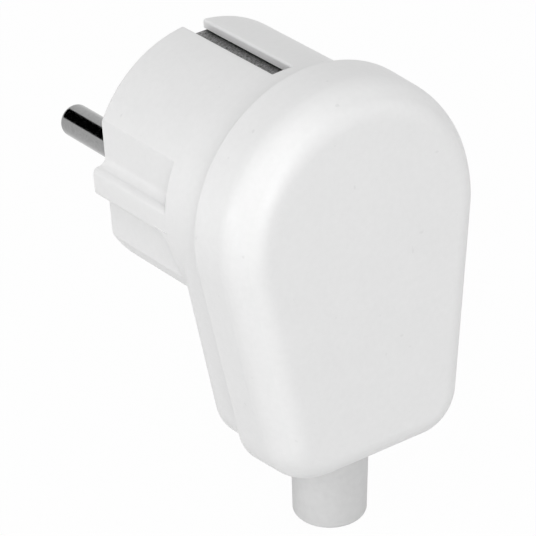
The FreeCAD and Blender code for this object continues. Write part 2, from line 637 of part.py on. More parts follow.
def front_half():
    """Moulded front half: nose, flange and the open shell behind them."""
    body = new_body("plug_body")
    shell_length = shell_back - s.nose_depth
    outline = (ZERO, nose_radius, corner_half, corner_drop, s.flange_corner_radius)
    flange = Drawing(body, "XZ_Plane", "flange_outline", s.nose_depth).teardrop(*outline)
    flange.pad("flange", shell_length)
    rounded(body, "flange_edge", s.flange_edge_radius, at_depth(s.nose_depth))

    # The nose runs through the flange, so the rounded edge shows only below it.
    nose = Drawing(body, "XZ_Plane", "nose_outline").circle(ZERO, ZERO, nose_radius)
    nose.pad("nose", shell_back)
    rounded(body, "nose_edge", s.nose_edge_radius, at_depth(ZERO))

    # Side recesses above and below the guide ribs, cut down to the flats. They meet inside the ribs,
    # which are then added with rounded outer edges.
    beyond = nose_radius + PAST
    rib_half = s.rib_height.half()
    upper = Drawing(body, "YZ_Plane", "upper_recess_outline", flat_distance)
    meeting = s.rib_edge_radius - rib_half
    upper.rectangle(-s.nose_depth, PAST, meeting, beyond)
    upper_cut = upper.pocket("upper_recess", nose_radius)
    lower = Drawing(body, "YZ_Plane", "lower_recess_outline", flat_distance)
    lower.rectangle_with_round_corner(-s.nose_depth, PAST, -beyond, meeting, s.recess_corner_radius)
    lower_cut = lower.pocket("lower_recess", nose_radius)
    mirrored(body, "recesses", [upper_cut, lower_cut], "YZ_Plane")
    rib = Drawing(body, "XZ_Plane", "rib_outline")
    rib_root = flat_distance - s.wall.half()
    rib_radius = nose_radius - s.rib_inset
    rib.guide_rib(rib_root, flat_distance, rib_radius, rib_half, s.rib_edge_radius, s.rib_root_radius)
    rib_pad = rib.pad("rib", s.nose_depth)
    mirrored(body, "ribs", [rib_pad], "YZ_Plane")

    # Slots over the earth strips. The groove under a slot is wider, so that two lips hold the strip,
    # and it runs through to the back, where the bracket is slid in.
    slot_half = s.slot_width.half()
    slot = Drawing(body, "XZ_Plane", "slot_outline")
    slot.rectangle(-slot_half, slot_half, slot_floor, nose_radius + PAST)
    slot_cut = slot.pocket("slot", slot_length)
    groove = Drawing(body, "XZ_Plane", "groove_outline")
    groove.rectangle(-s.groove_width.half(), s.groove_width.half(), slot_floor, lip_under)
    groove_cut = groove.pocket("groove", shell_back)
    mirrored(body, "slots", [slot_cut, groove_cut], "XY_Plane")
    lip_height = math.sqrt(nose_radius.value ** 2 - slot_half.value ** 2)

    def lip_edge(edge):
        return all(near(abs(v.X), slot_half.value) and near(abs(v.Z), lip_height) for v in edge.Vertexes)

    rounded(body, "lip_edges", s.slot_edge_radius, lip_edge)

    # Terminal chamber in the nose, and the wider space in the shell below it.
    chamber = Drawing(body, "XZ_Plane", "chamber_outline", s.front_wall)
    chamber.round_with_flats(chamber_radius, chamber_half_width, chamber_half_height)
    chamber.pocket("chamber", shell_back - s.front_wall)
    inside = (ZERO, chamber_radius, corner_half, corner_drop, s.flange_corner_radius - s.wall)
    room = Drawing(body, "XZ_Plane", "room_outline", shell_floor).teardrop(*inside)
    room.pocket("room", shell_back - shell_floor)

    # Column for the housing screw, with the seat for its head in the engagement face.
    column = Drawing(body, "XZ_Plane", "column_outline", s.front_wall)
    column.circle(ZERO, ZERO, column_radius)
    column.pad("column", bracket_depth - s.front_wall)
    head_seat = Drawing(body, "XZ_Plane", "head_seat_outline")
    head_seat.circle(ZERO, ZERO, s.centre_head_radius + s.centre_hole_gap)
    head_seat.pocket("head_seat", s.centre_head_sink)
    screw_way = Drawing(body, "XZ_Plane", "screw_way_outline")
    screw_way.circle(ZERO, ZERO, s.centre_thread_radius + s.centre_hole_gap)
    screw_way.pocket("screw_way", bracket_depth)

    # Pin holes with the seats of the collars, and the entry for the earth pin.
    pins = Drawing(body, "XZ_Plane", "pin_holes_outline")
    pins.circle(pin_half, ZERO, s.pin_shank_radius + s.pin_clearance)
    pins.circle(-pin_half, ZERO, s.pin_shank_radius + s.pin_clearance)
    pins.pocket("pin_holes", s.front_wall)
    seats = Drawing(body, "XZ_Plane", "collar_seats_outline", seat_depth)
    seats.circle(pin_half, ZERO, s.collar_radius + s.pin_clearance)
    seats.circle(-pin_half, ZERO, s.collar_radius + s.pin_clearance)
    seats.pocket("collar_seats", s.collar_thickness)
    entry = Drawing(body, "XZ_Plane", "earth_entry_outline")
    entry.circle(ZERO, earth_socket_rise, s.earth_entry_radius)
    entry.pocket("earth_entry", s.front_wall)
    tube_seat = Drawing(body, "XZ_Plane", "tube_seat_outline", s.earth_tube_setback)
    tube_seat.circle(ZERO, earth_socket_rise, tube_radius + s.pin_clearance)
    tube_seat.pocket("tube_seat", s.front_wall - s.earth_tube_setback)

    # Low bosses for the retainer's screws.
    boss_radius = s.retainer_head_radius + s.retainer_clearance
    bosses = Drawing(body, "XZ_Plane", "retainer_bosses_outline", s.front_wall)
    bosses.circle(retainer_screw_across, retainer_screw_up, boss_radius)
    bosses.circle(-retainer_screw_across, -retainer_screw_up, boss_radius)
    bosses.pad("retainer_bosses", collar_back - s.front_wall)
    pilot_depth = s.retainer_bite + s.tip_room
    pilots = Drawing(body, "XZ_Plane", "retainer_pilots_outline", collar_back - pilot_depth)
    pilot_radius = s.retainer_thread_radius + s.thread_gap
    pilots.circle(retainer_screw_across, retainer_screw_up, pilot_radius)
    pilots.circle(-retainer_screw_across, -retainer_screw_up, pilot_radius)
    pilots.pocket("retainer_pilots", pilot_depth)

    # Bosses for the clamp screws and two ribs that the cord is pressed on.
    clamp_bosses = Drawing(body, "XZ_Plane", "clamp_bosses_outline", shell_floor)
    clamp_bosses.circle(clamp_half, -clamp_drop, s.clamp_boss_radius)
    clamp_bosses.circle(-clamp_half, -clamp_drop, s.clamp_boss_radius)
    clamp_bosses.pad("clamp_bosses", clamp_depth - shell_floor)
    rib_gap = s.clamp_width.half() - s.saddle_rib
    low = Drawing(body, "XZ_Plane", "saddle_outline", shell_floor)
    for height in (-clamp_drop + rib_gap, -clamp_drop - rib_gap - s.saddle_rib):
        low.rectangle(-clamp_half, clamp_half, height, height + s.saddle_rib)
    low.pad("saddle", s.saddle_height)
    bite = s.clamp_bite + s.tip_room
    clamp_pilots = Drawing(body, "XZ_Plane", "clamp_pilots_outline", clamp_depth - bite)
    clamp_pilots.circle(clamp_half, -clamp_drop, s.clamp_thread_radius + s.thread_gap)
    clamp_pilots.circle(-clamp_half, -clamp_drop, s.clamp_thread_radius + s.thread_gap)
    clamp_pilots.pocket("clamp_pilots", bite)

    # Wall over the sleeve's flange, and the notch that the sleeve is laid in from behind.
    fence = Drawing(body, "XZ_Plane", "fence_outline", shell_floor)
    fence_half = corner_half + s.flange_corner_radius - s.wall - s.fence_thickness
    fence.rectangle(-fence_half, fence_half, -fence_bottom_drop, -fence_bottom_drop + s.fence_thickness)
    fence.pad("fence", parting_depth - shell_floor)
    cord_way = s.sleeve_bore_radius + s.cord_gap
    notch = Drawing(body, "XY_Plane", "cord_notch_outline", -fence_bottom_drop)
    notch.circle(ZERO, -outlet_depth, cord_way)
    notch.pocket("cord_notch", s.fence_thickness)
    opening = Drawing(body, "XY_Plane", "cord_opening_outline", -fence_bottom_drop)
    opening.rectangle(-cord_way, cord_way, -shell_back, -outlet_depth)
    opening.pocket("cord_opening", s.fence_thickness)
    sleeve_depth = s.wall + s.flange_edge_radius
    sleeve_notch = Drawing(body, "XY_Plane", "sleeve_notch_outline", s.wall - shell_bottom)
    sleeve_notch.circle(ZERO, -outlet_depth, outlet_hole_radius)
    sleeve_notch.pocket("sleeve_notch", sleeve_depth, reverse=False)
    sleeve_way = Drawing(body, "XY_Plane", "sleeve_way_outline", s.wall - shell_bottom)
    sleeve_way.rectangle(-outlet_hole_radius, outlet_hole_radius, -shell_back, -outlet_depth)
    sleeve_way.pocket("sleeve_way", sleeve_depth, reverse=False)
    return body


def cover():
    """Moulded back half: a deep cap that slips over the shell and seats on its back edge."""
    body = new_body("rear_cover")
    outline = (s.cover_arc_rise, cover_radius, corner_half, corner_drop, cover_corner_radius)
    shell = Drawing(body, "XZ_Plane", "cover_outline", parting_depth).teardrop(*outline)
    cap = shell.pad("cap", cover_depth - parting_depth)
    cap.TaperAngle = -s.cover_draft.value
    cap.setExpression("TaperAngle", (-s.cover_draft).text)
    slope = rounded(body, "back_slope", s.cover_slope_width, at_depth(cover_depth), kind="Chamfer")
    slope.ChamferType = "Two distances"
    slope.FlipDirection = True
    slope.Size2 = s.cover_slope_depth.value
    slope.setExpression("Size2", s.cover_slope_depth.text)
    doc.recompute()
    rounded(body, "back_edge", s.cover_back_radius, at_depth(cover_depth))

    def side_edge(edge):
        places = [-v.Y - (cover_depth - s.cover_slope_depth).value for v in edge.Vertexes]
        return all(abs(place) < s.cover_rim_radius.value for place in places)

    rounded(body, "side_edge", s.cover_side_radius, side_edge)
    rounded(body, "rim_edge", s.cover_rim_radius, at_depth(parting_depth))

    # The wide mouth takes the shell of the front half, and the space behind it is a ledge narrower.
    gap = s.cover_clearance
    mouth_shape = (ZERO, nose_radius + gap, corner_half, corner_drop, s.flange_corner_radius + gap)
    mouth = Drawing(body, "XZ_Plane", "mouth_outline", parting_depth).teardrop(*mouth_shape)
    mouth.pocket("mouth", s.overlap)
    step = s.seat_step
    space_shape = (ZERO, nose_radius - step, corner_half, corner_drop, s.flange_corner_radius - step)
    space = Drawing(body, "XZ_Plane", "space_outline", parting_depth).teardrop(*space_shape)
    space.pocket("space", cover_inside_back - parting_depth)
    rounded(body, "inner_edge", s.cover_inner_radius, at_depth(cover_inside_back))

    # Boss that presses the cross bar on the column and holds the nut from behind.
    boss = Drawing(body, "XZ_Plane", "boss_outline", bracket_back).circle(ZERO, ZERO, nut_boss_radius)
    boss.pad("boss", cover_inside_back - bracket_back)
    way = Drawing(body, "XZ_Plane", "cover_screw_way_outline", bracket_back)
    way.circle(ZERO, ZERO, s.centre_thread_radius + s.centre_hole_gap)
    way.pocket("cover_screw_way", centre_screw_tip + s.tip_room - bracket_back)
    nut_half = s.nut_flats.half() + s.nut_clearance
    nut_pocket = Drawing(body, "XZ_Plane", "nut_pocket_outline", nut_depth)
    nut_pocket.rectangle(-nut_half, nut_half, -nut_corner - s.nut_clearance, nut_boss_radius)
    nut_pocket.pocket("nut_pocket", s.nut_thickness + s.nut_clearance)

    # Two stiffening ribs on the back wall.
    ribs = Drawing(body, "XZ_Plane", "cover_ribs_outline", cover_inside_back - s.cover_rib_height)
    rib_low = s.cover_rib_top - s.cover_rib_length
    inner = s.cover_rib_spacing.half() - s.cover_rib_thickness.half()
    for left in (inner, -inner - s.cover_rib_thickness):
        ribs.rectangle(left, left + s.cover_rib_thickness, rib_low, s.cover_rib_top)
    ribs.pad("cover_ribs", s.cover_rib_height)

    # Notch for the lower side of the sleeve.
    notch_start = s.wall - shell_bottom
    notch = Drawing(body, "XY_Plane", "cover_notch_outline", notch_start)
    notch.circle(ZERO, -outlet_depth, outlet_hole_radius)
    notch.pocket("cover_notch", s.wall + cover_corner_radius - s.flange_corner_radius + PAST, reverse=False)
    return body


def contact_pin(name, side):
    """Turned pin with a thicker shank, a collar, and a terminal head with a cross hole and a tapped end."""
    body = new_body(name)
    place(body, x=pin_half * side)
    profile = Drawing(body, "XY_Plane", name + "_profile")
    profile.polygon(
        (ZERO, s.pin_length),
        (s.pin_radius, s.pin_length),
        (s.pin_radius, ZERO),
        (s.pin_shank_radius, ZERO),
        (s.pin_shank_radius, -seat_depth),
        (s.collar_radius, -seat_depth),
        (s.collar_radius, -collar_back),
        (s.head_radius, -collar_back),
        (s.head_radius, -head_back),
        (ZERO, -head_back),
    )
    profile.revolve("turned")
    rounded(body, "tip", s.pin_tip_radius, at_depth(-s.pin_length))
    wire_hole = Drawing(body, "XY_Plane", name + "_wire_hole")
    wire_hole.circle(ZERO, -wire_hole_depth, s.wire_hole_radius)
    wire_hole.pocket("wire_hole", s.head_radius * 2, symmetric=True)
    tapped = Drawing(body, "XZ_Plane", name + "_tapped_hole", wire_hole_depth)
    tapped.circle(ZERO, ZERO, s.terminal_thread_radius + s.thread_gap)
    tapped.pocket("tapped_hole", head_back - wire_hole_depth)
    return body


def headed_screw(name, thread_radius, length, head_radius, head_height, slotted=True):
    """Screw with a round head. Its head's underside is at its origin and it points along +Y."""
    body = new_body(name)
    profile = Drawing(body, "XY_Plane", name + "_profile")
    profile.polygon(
        (ZERO, -head_height),
        (head_radius, -head_height),
        (head_radius, ZERO),
        (thread_radius, ZERO),
        (thread_radius, length),
        (ZERO, length),
    )
    profile.revolve("turned")
    rounded(body, "point", s.screw_chamfer, at_depth(-length), kind="Chamfer")
    rounded(body, "head_edge", s.screw_chamfer, at_depth(head_height), kind="Chamfer")
    if slotted:
        slot = Drawing(body, "XZ_Plane", name + "_slot", head_height)
        half = s.drive_slot_width.half()
        slot.rectangle(-head_radius, head_radius, -half, half)
        slot.pocket("drive_slot", s.drive_slot_depth, reverse=False)
    return body


def wire_guard(name, side):
    """Bent leaf in the cross hole: the screw presses on it and it presses on the wire."""
    body = new_body(name)
    place(body, x=pin_half * side)
    profile = Drawing(body, "YZ_Plane", name + "_profile")
    front = -wire_hole_depth
    back = front - s.guard_thickness
    outside = s.head_radius + s.thread_gap
    tab_top = outside + s.guard_thickness
    profile.polygon(
        (front, -s.head_radius),
        (front, tab_top),
        (back - s.guard_tab, tab_top),
        (back - s.guard_tab, outside),
        (back, outside),
        (back, -s.head_radius),
    )
    profile.pad("leaf", s.guard_width, symmetric=True)
    return body


def retainer():
    """Moulded plate over the pin collars, with walls that part the terminals."""
    body = new_body("pin_retainer")
    half_width = chamber_half_width - s.retainer_clearance
    plate = Drawing(body, "XZ_Plane", "plate_outline", collar_back)
    plate.rounded_rectangle(half_width, retainer_half_height, s.retainer_corner_radius)
    plate.pad("plate", s.retainer_thickness)
    walls = Drawing(body, "XZ_Plane", "dividers_outline", collar_back)
    inner = column_radius + s.retainer_clearance
    half_height = retainer_half_height - s.retainer_corner_radius.half()
    for left in (inner, -inner - s.divider_thickness):
        walls.rectangle(left, left + s.divider_thickness, -half_height, half_height)
    walls.pad("dividers", s.retainer_thickness + s.divider_length)
    holes = Drawing(body, "XZ_Plane", "retainer_holes_outline", collar_back)
    holes.circle(ZERO, ZERO, column_radius + s.retainer_clearance.half())
    through = s.retainer_thickness + s.divider_length
    holes.circle(pin_half, ZERO, s.head_radius + s.retainer_clearance.half())
    holes.circle(-pin_half, ZERO, s.head_radius + s.retainer_clearance.half())
    screw_hole = s.retainer_thread_radius + s.retainer_clearance.half()
    holes.circle(retainer_screw_across, retainer_screw_up, screw_hole)
    holes.circle(-retainer_screw_across, -retainer_screw_up, screw_hole)
    holes.pocket("retainer_holes", through)
    notch = Drawing(body, "XZ_Plane", "socket_notch_outline", collar_back)
    notch_half = tube_radius + s.retainer_clearance.half()
    notch.rectangle(-notch_half, notch_half, earth_socket_rise, retainer_half_height + PAST)
    notch.pocket("socket_notch", through)
    round_end = Drawing(body, "XZ_Plane", "notch_end_outline", collar_back)
    round_end.circle(ZERO, earth_socket_rise, notch_half)
    round_end.pocket("notch_end", through)
    return body


def earth_bracket():
    """One strip bent to a U: a side contact in each slot and the cross bar between them."""
    body = new_body("earth_bracket")
    strip = Drawing(body, "YZ_Plane", "strip_profile")
    front = -s.strip_setback
    strip.polygon(
        (front, strip_under),
        (front, strip_face),
        (-bracket_back, strip_face),
        (-bracket_back, -strip_face),
        (front, -strip_face),
        (front, -strip_under),
        (-bracket_depth, -strip_under),
        (-bracket_depth, strip_under),
    )
    strip.pad("strip", strip_half_width * 2, symmetric=True)

    def corners(depth, height):
        def chosen(edge):
            points = [(near(-v.Y, depth.value), near(abs(v.Z), height.value)) for v in edge.Vertexes]
            return all(a and b for a, b in points) and edge.BoundBox.XLength > strip_half_width.value
        return chosen

    rounded(body, "inner_bends", s.strip_bend_radius, corners(bracket_depth, strip_under))
    outer_bend = s.strip_bend_radius + s.strip_thickness
    rounded(body, "outer_bends", outer_bend, corners(bracket_back, strip_face))
    rounded(body, "strip_ends", s.strip_end_radius, corners(s.strip_setback, strip_face))
    ends = Drawing(body, "XY_Plane", "strip_ends_outline")
    ends.round_corners(strip_half_width, front, s.strip_corner_radius)
    ends.pocket("strip_corners", (strip_face + PAST) * 2, symmetric=True)

    # The cross bar is wide between its shoulders and narrows to the strips.
    half = s.cross_bar_width.half()
    shoulder = earth_screw_drop + s.shoulder_margin
    neck = strip_under - s.strip_bend_radius
    bar = Drawing(body, "XZ_Plane", "cross_bar_outline", bracket_depth)
    bar.polygon(
        (strip_half_width, neck),
        (-strip_half_width, neck),
        (-half, shoulder),
        (-half, -shoulder),
        (-strip_half_width, -neck),
        (strip_half_width, -neck),
        (half, -shoulder),
        (half, shoulder),
    )
    bar.pad("cross_bar", s.strip_thickness)
    holes = Drawing(body, "XZ_Plane", "bracket_holes_outline", bracket_depth)
    holes.circle(ZERO, ZERO, s.centre_thread_radius + s.centre_hole_gap)
    holes.circle(ZERO, earth_socket_rise, s.rivet_radius)
    holes.circle(ZERO, -earth_screw_drop, s.earth_thread_radius + s.thread_gap)
    holes.pocket("bracket_holes", s.strip_thickness)
    return body


def earth_socket():
    """Turned tube for the wall socket's earth pin, riveted to the cross bar."""
    body = new_body("earth_socket")
    place(body, height=earth_socket_rise)
    mouth = s.earth_tube_setback
    bore_end = mouth + s.earth_bore_length
    profile = Drawing(body, "XY_Plane", "socket_profile")
    profile.polygon(
        (s.earth_bore_radius, -mouth),
        (tube_radius, -mouth),
        (tube_radius, -bracket_depth),
        (s.rivet_radius, -bracket_depth),
        (s.rivet_radius, -bracket_back),
        (s.rivet_head_radius, -bracket_back),
        (s.rivet_head_radius, -bracket_back - s.rivet_head_height),
        (ZERO, -bracket_back - s.rivet_head_height),
        (ZERO, -bore_end),
        (s.earth_bore_radius, -bore_end),
    )
    profile.revolve("turned")
    slit = Drawing(body, "XZ_Plane", "slit_outline", mouth)
    slit.rectangle(-s.earth_slit_width.half(), s.earth_slit_width.half(), -tube_radius, tube_radius)
    slit.pocket("slit", s.earth_slit_length)
    return body


def clamp_washer():
    """Clamping washer with two turned down edges that keep the earth wire under it."""
    body = new_body("earth_clamp_washer")
    place(body, depth=bracket_back, height=-earth_screw_drop)
    half = s.washer_side.half()
    lip_inside = s.cross_bar_width.half() + s.thread_gap
    edge = lip_inside + s.washer_lip_thickness
    plate = Drawing(body, "XZ_Plane", "washer_outline").rectangle(-edge, edge, -half, half)
    plate.circle(ZERO, ZERO, s.earth_thread_radius + s.thread_gap)
    plate.pad("washer", s.washer_thickness)
    lips = Drawing(body, "XZ_Plane", "lips_outline")
    for left in (lip_inside, -edge):
        lips.rectangle(left, left + s.washer_lip_thickness, -half, half)
    lips.pad("lips", s.washer_lip, reverse=True)
    return body


def hexagon_nut():
    """Hexagon nut in the cover's boss."""
    body = new_body("centre_nut")
    place(body, depth=nut_depth)
    corners = []
    for i in range(6):
        angle = math.pi / 2 + i * math.pi / 3
        corners.append((nut_corner * math.cos(angle), nut_corner * math.sin(angle)))
    nut = Drawing(body, "XZ_Plane", "nut_outline").polygon(*corners)
    nut.circle(ZERO, ZERO, s.centre_thread_radius + s.thread_gap)
    nut.pad("nut", s.nut_thickness)
    return body


def cord_clamp():
    """Moulded bar across the cord, hollowed where the cord lies."""
    body = new_body("cable_clamp")
    place(body, height=-clamp_drop)
    front = -clamp_depth
    back = front - s.clamp_thickness
    half = clamp_half_length
    arch = s.clamp_arch_width.half()
    profile = Drawing(body, "XY_Plane", "clamp_profile")
    profile.polygon(
        (half, front),
        (arch, front),
        (arch - s.clamp_arch, front - s.clamp_arch),
        (s.clamp_arch - arch, front - s.clamp_arch),
        (-arch, front),
        (-half, front),
        (-half, back),
        (-arch, back),
        (s.clamp_arch - arch, back - s.clamp_arch),
        (arch - s.clamp_arch, back - s.clamp_arch),
        (arch, back),
        (half, back),
    )
    profile.pad("bar", s.clamp_width, symmetric=True)

    holes = Drawing(body, "XZ_Plane", "clamp_holes_outline", clamp_depth)
    hole_radius = s.clamp_thread_radius + s.retainer_clearance.half()
    holes.circle(clamp_half, ZERO, hole_radius)
    holes.circle(-clamp_half, ZERO, hole_radius)
    holes.pocket("clamp_holes", s.clamp_thickness)
    return body


def bend_sleeve():
    """Soft sleeve round the cord, held by a flange inside the housing."""
    body = new_body("bend_sleeve")
    place(body, depth=outlet_depth)
    flange_low = -flange_top_drop - s.sleeve_flange_thickness
    root = Drawing(body, "XZ_Plane", "sleeve_root_profile")
    root.polygon(
        (s.sleeve_bore_radius, -flange_top_drop),
        (sleeve_flange_radius, -flange_top_drop),
        (sleeve_flange_radius, flange_low),
        (sleeve_radius, flange_low),
        (sleeve_radius, -sleeve_bend_drop),
        (s.sleeve_bore_radius, -sleeve_bend_drop),
    )
    root.revolve("sleeve_root")
    ring = Drawing(body, "XY_Plane", "sleeve_ring", -sleeve_bend_drop)
    ring.circle(ZERO, ZERO, sleeve_radius).circle(ZERO, ZERO, s.sleeve_bore_radius)
    ring.bend("sleeve_bend", s.sleeve_bend_radius, s.sleeve_lean)
    outside = Drawing(body, "XZ_Plane", "sleeve_profile").lean(-sleeve_turn_drop, s.sleeve_lean)
    end = -sleeve_bend_reach - s.sleeve_length
    outside.polygon(
        (s.sleeve_bore_radius, -sleeve_bend_reach),
        (sleeve_radius, -sleeve_bend_reach),
        (sleeve_end_radius, end),
        (s.sleeve_bore_radius, end),
    )
    outside.revolve("sleeve")

    def end_edge(edge):
        return near(getattr(edge.Curve, "Radius", 0), sleeve_end_radius.value)

    rounded(body, "sleeve_end", s.sleeve_edge_radius, end_edge)
    return body


parts = [front_half(), cover()]
for side, name in ((-1.0, "live"), (1.0, "neutral")):
    parts.append(contact_pin(name + "_pin", side))
    parts.append(wire_guard(name + "_wire_guard", side))
    screw_seat = head_back + s.terminal_head_gap
    screw_length = screw_seat - wire_hole_depth - s.guard_thickness
    screw = headed_screw(
        name + "_terminal_screw",
        s.terminal_thread_radius,
        screw_length,
        s.terminal_head_radius,
        s.terminal_head_height,
    )
    place(screw, x=pin_half * side, depth=screw_seat)
    parts.append(screw)

parts.append(retainer())
for side, name in ((-1.0, "left"), (1.0, "right")):
    screw = headed_screw(
        "retainer_screw_" + name,
        s.retainer_thread_radius,
        s.retainer_thickness + s.retainer_bite,
        s.retainer_head_radius,
        s.retainer_head_height,
    )
    place(screw, x=retainer_screw_across * side, depth=retainer_back, height=retainer_screw_up * side)
    parts.append(screw)

parts += [earth_bracket(), earth_socket(), clamp_washer()]
earth_screw = headed_screw(
    "earth_terminal_screw",
    s.earth_thread_radius,
    s.earth_screw_length,
    s.earth_head_radius,
    s.earth_head_height,
)
place(earth_screw, depth=washer_back, height=-earth_screw_drop)
parts.append(earth_screw)

centre_screw = headed_screw(
    "centre_screw",
    s.centre_thread_radius,
    centre_screw_tip - s.centre_head_sink,
    s.centre_head_radius,
    s.centre_head_height,
)
place(centre_screw, depth=s.centre_head_sink, half_turn=True)
parts += [centre_screw, hexagon_nut()]

parts.append(cord_clamp())
for side, name in ((-1.0, "left"), (1.0, "right")):
    screw = headed_screw(
        "clamp_screw_" + name,
        s.clamp_thread_radius,
        s.clamp_thickness + s.clamp_bite,
        s.clamp_head_radius,
        s.clamp_head_height,
    )
    place(screw, x=clamp_half * side, depth=clamp_depth + s.clamp_thickness, height=-clamp_drop)
    parts.append(screw)
parts.append(bend_sleeve())

doc.recompute()
for item in doc.Objects:
    if "Invalid" in item.State or "Error" in item.State:
        raise RuntimeError("%s failed: %s" % (item.Label, item.State))
for body in parts:
    shape = body.Shape
    if shape.isNull() or not shape.isValid() or len(shape.Solids) != 1:
        raise RuntimeError("%s has no single valid solid" % body.Label)
    shape.exportStep("parts/%s.step" % body.Label)
    box = shape.BoundBox
    corners = (box.XMin, box.YMin, box.ZMin, box.XMax, box.YMax, box.ZMax)
    print("%-24s %9.1f mm3" % (body.Label, shape.Volume), " ".join("%7.2f" % v for v in corners))
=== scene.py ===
import math

import bmesh
import bpy
from mathutils import Matrix, Vector


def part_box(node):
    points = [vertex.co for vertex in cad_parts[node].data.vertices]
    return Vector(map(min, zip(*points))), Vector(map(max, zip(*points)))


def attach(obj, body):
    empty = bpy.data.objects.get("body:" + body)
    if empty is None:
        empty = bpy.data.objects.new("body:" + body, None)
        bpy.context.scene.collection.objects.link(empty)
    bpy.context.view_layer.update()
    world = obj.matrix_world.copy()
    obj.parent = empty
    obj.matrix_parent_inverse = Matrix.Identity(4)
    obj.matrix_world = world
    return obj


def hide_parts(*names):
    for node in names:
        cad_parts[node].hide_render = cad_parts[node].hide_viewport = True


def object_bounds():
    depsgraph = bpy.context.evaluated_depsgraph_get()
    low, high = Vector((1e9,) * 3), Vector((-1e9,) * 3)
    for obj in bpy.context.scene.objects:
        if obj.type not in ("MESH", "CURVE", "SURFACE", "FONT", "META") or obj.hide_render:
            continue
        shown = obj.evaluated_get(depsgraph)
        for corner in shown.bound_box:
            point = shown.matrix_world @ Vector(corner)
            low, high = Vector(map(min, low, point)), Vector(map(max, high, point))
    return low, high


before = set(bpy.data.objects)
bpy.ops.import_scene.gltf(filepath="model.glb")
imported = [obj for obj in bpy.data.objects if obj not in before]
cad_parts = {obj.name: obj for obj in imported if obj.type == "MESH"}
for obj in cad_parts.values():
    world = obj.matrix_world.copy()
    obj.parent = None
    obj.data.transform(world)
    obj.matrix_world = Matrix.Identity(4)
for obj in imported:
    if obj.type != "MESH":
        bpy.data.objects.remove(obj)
model_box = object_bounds()

# The camera stands behind the plug, to its left and above it, and looks at it through a long lens.
# It is tilted a little to the right, as the photograph is.
AZIMUTH = math.radians(-33.426)
ELEVATION = math.radians(27.936)
ROLL = math.radians(-4.524)
CAMERA_DISTANCE = 0.58293
LENS = 284.34
SENSOR = 36.0
NEAREST, FARTHEST = 0.05, 20.0
AIM = Vector((-0.003028, 0.0, -0.003842))
MIDDLE = Vector((0.0, -0.020, -0.008))

level = Vector((math.cos(AZIMUTH), math.sin(AZIMUTH), 0.0))
backwards = Vector((math.sin(AZIMUTH) * math.cos(ELEVATION),
                    -math.cos(AZIMUTH) * math.cos(ELEVATION),
                    math.sin(ELEVATION)))
upwards = backwards.cross(level)
to_right = math.cos(ROLL) * level + math.sin(ROLL) * upwards
to_top = math.cos(ROLL) * upwards - math.sin(ROLL) * level
camera_data = bpy.data.cameras.new("camera")
camera_data.lens = LENS
camera_data.sensor_width = SENSOR
camera_data.clip_start = NEAREST
camera_data.clip_end = FARTHEST
camera = bpy.data.objects.new("camera", camera_data)
bpy.context.collection.objects.link(camera)
turned = Matrix((to_right, to_top, backwards)).transposed().to_4x4()
stand = MIDDLE + AIM.x * to_right + AIM.z * to_top + CAMERA_DISTANCE * backwards
camera.matrix_world = Matrix.Translation(stand) @ turned
bpy.context.scene.camera = camera
bpy.context.scene.view_settings.view_transform = "Standard"


# The floor is a plain pale table just under the end of the sleeve. Seen directly or in a reflection it is
# white, and keeps a faint part of the plug's soft shadow.
class Value:
    """An output of a finish's nodes. Sums on it add the nodes that work them out."""

    def __init__(self, finish, socket):
        self.finish = finish
        self.socket = socket

    def worked(self, operation, first, second):
        return self.finish.node("ShaderNodeMath", {"operation": operation}, {0: first, 1: second})

    def __add__(self, other):
        return self.worked("ADD", self, other)

    def __radd__(self, other):
        return self.worked("ADD", other, self)

    def __sub__(self, other):
        return self.worked("SUBTRACT", self, other)

    def __rsub__(self, other):
        return self.worked("SUBTRACT", other, self)

    def __mul__(self, other):
        return self.worked("MULTIPLY", self, other)

    def __rmul__(self, other):
        return self.worked("MULTIPLY", other, self)


class Finish:
    """The material of a piece and the nodes that make it up."""

    # Places of the two colours among a mix node's inputs, and of the mixed one among its outputs.
    FIRST_COLOUR, SECOND_COLOUR, MIXED_COLOUR = 6, 7, 2

    def __init__(self, name, constants=None):
        self.material = bpy.data.materials.new(name)
        self.material.use_nodes = True
        self.tree = self.material.node_tree
        self.shader = self.tree.nodes["Principled BSDF"]
        self.output = self.tree.nodes["Material Output"]
        for socket, value in (constants or {}).items():
            self.shader.inputs[socket].default_value = value

    def node(self, kind, settings=None, inputs=None, outlet=0):
        made = self.tree.nodes.new(kind)
        for name, value in (settings or {}).items():
            setattr(made, name, value)
        for place, value in (inputs or {}).items():
            self.join(made.inputs[place], value)
        return Value(self, made.outputs[outlet])

    def join(self, socket, value):
        if isinstance(value, Value):
            self.tree.links.new(value.socket, socket)
        else:
            socket.default_value = value

    def grain(self, size, detail=2.0):
        """Noise whose grains are about this many metres across, from 0 to 1."""
        place = self.node("ShaderNodeTexCoord", outlet="Object")
        inputs = {"Vector": place, "Scale": 1.0 / size, "Detail": detail}
        return self.node("ShaderNodeTexNoise", None, inputs)

    def spread(self, value, low, high):
        """The value stretched so that low and high become 0 and 1, and cut off there."""
        inputs = {"Value": value, "From Min": low, "From Max": high}
        return self.node("ShaderNodeMapRange", {"clamp": True}, inputs)

    def between(self, factor, first, second):
        """A colour between two others."""
        inputs = {"Factor": factor, self.FIRST_COLOUR: first, self.SECOND_COLOUR: second}
        return self.node("ShaderNodeMix", {"data_type": "RGBA"}, inputs, self.MIXED_COLOUR)

    def feed(self, socket, value):
        self.join(self.shader.inputs[socket], value)

    def relief(self, height, depth):
        """Bumps of this depth in metres where the height goes from 0 to 1."""
        bumped = self.node("ShaderNodeBump", None, {"Height": height, "Distance": depth, "Strength": 1.0})
        self.feed("Normal", bumped)


def grey(lightness):
    return lightness, lightness, lightness, 1.0


